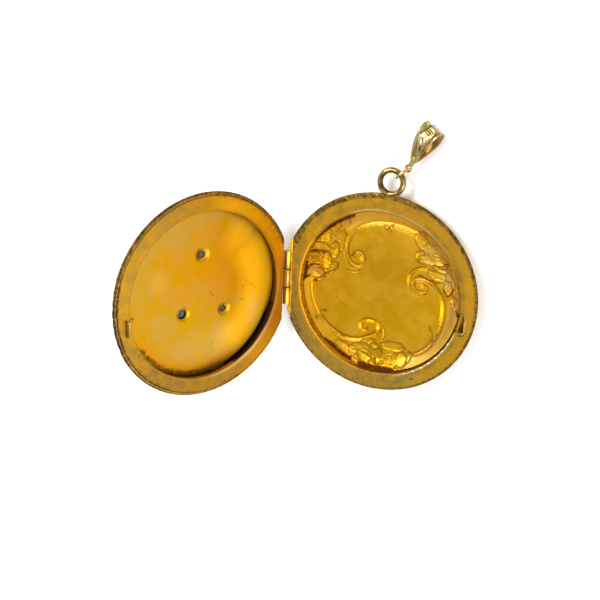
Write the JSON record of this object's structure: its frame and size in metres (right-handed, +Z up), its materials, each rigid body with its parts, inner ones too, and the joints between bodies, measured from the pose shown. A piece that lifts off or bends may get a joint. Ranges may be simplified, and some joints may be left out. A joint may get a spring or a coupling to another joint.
{
  "type": "round locket",
  "caption": "Open round hinged locket: stamped scroll and rose relief leaf, plain leaf set with blue stones, wire loop, jump ring and pierced bail.",
  "frame": {"origin": "middle of the open locket's box, on the surface that the relief leaf's back lies on", "axes": "+X from the hinge to the relief leaf's catch side, +Y along the hinge pin to the hanging loop, +Z up"},
  "size_m": [0.0455, 0.043, 0.0308],
  "materials": {
    "relief_gold": "bright yellow gold inside a stamped relief, with brown tarnish in the corners",
    "land_gold": "worn gold with grey-brown tarnish and fine scratches",
    "pan_gold": "smooth yellow gold with small stains and light scratches",
    "pin_gold": "plain drawn wire",
    "bail_gold": "polished pale gold",
    "blue_stone": "faceted pale blue stone"
  },
  "bodies": {
    "relief_leaf": {"relief_shell": "relief_gold", "relief_frame": "land_gold", "hinge_pin": "pin_gold", "jump_ring": "bail_gold", "bail": "bail_gold"},
    "gem_leaf": {"gem_shell": "pan_gold", "gem_frame": "land_gold", "stone_1": "blue_stone", "stone_2": "blue_stone", "stone_3": "blue_stone"}
  },
  "joints": [
    {"name": "lid_hinge", "type": "hinge", "parent": "relief_leaf", "child": "gem_leaf", "pos_m": [-0.00835, -0.00524, 0.0027], "axis": [0, 1, 0], "range_deg": [-62, 115]}
  ]
}
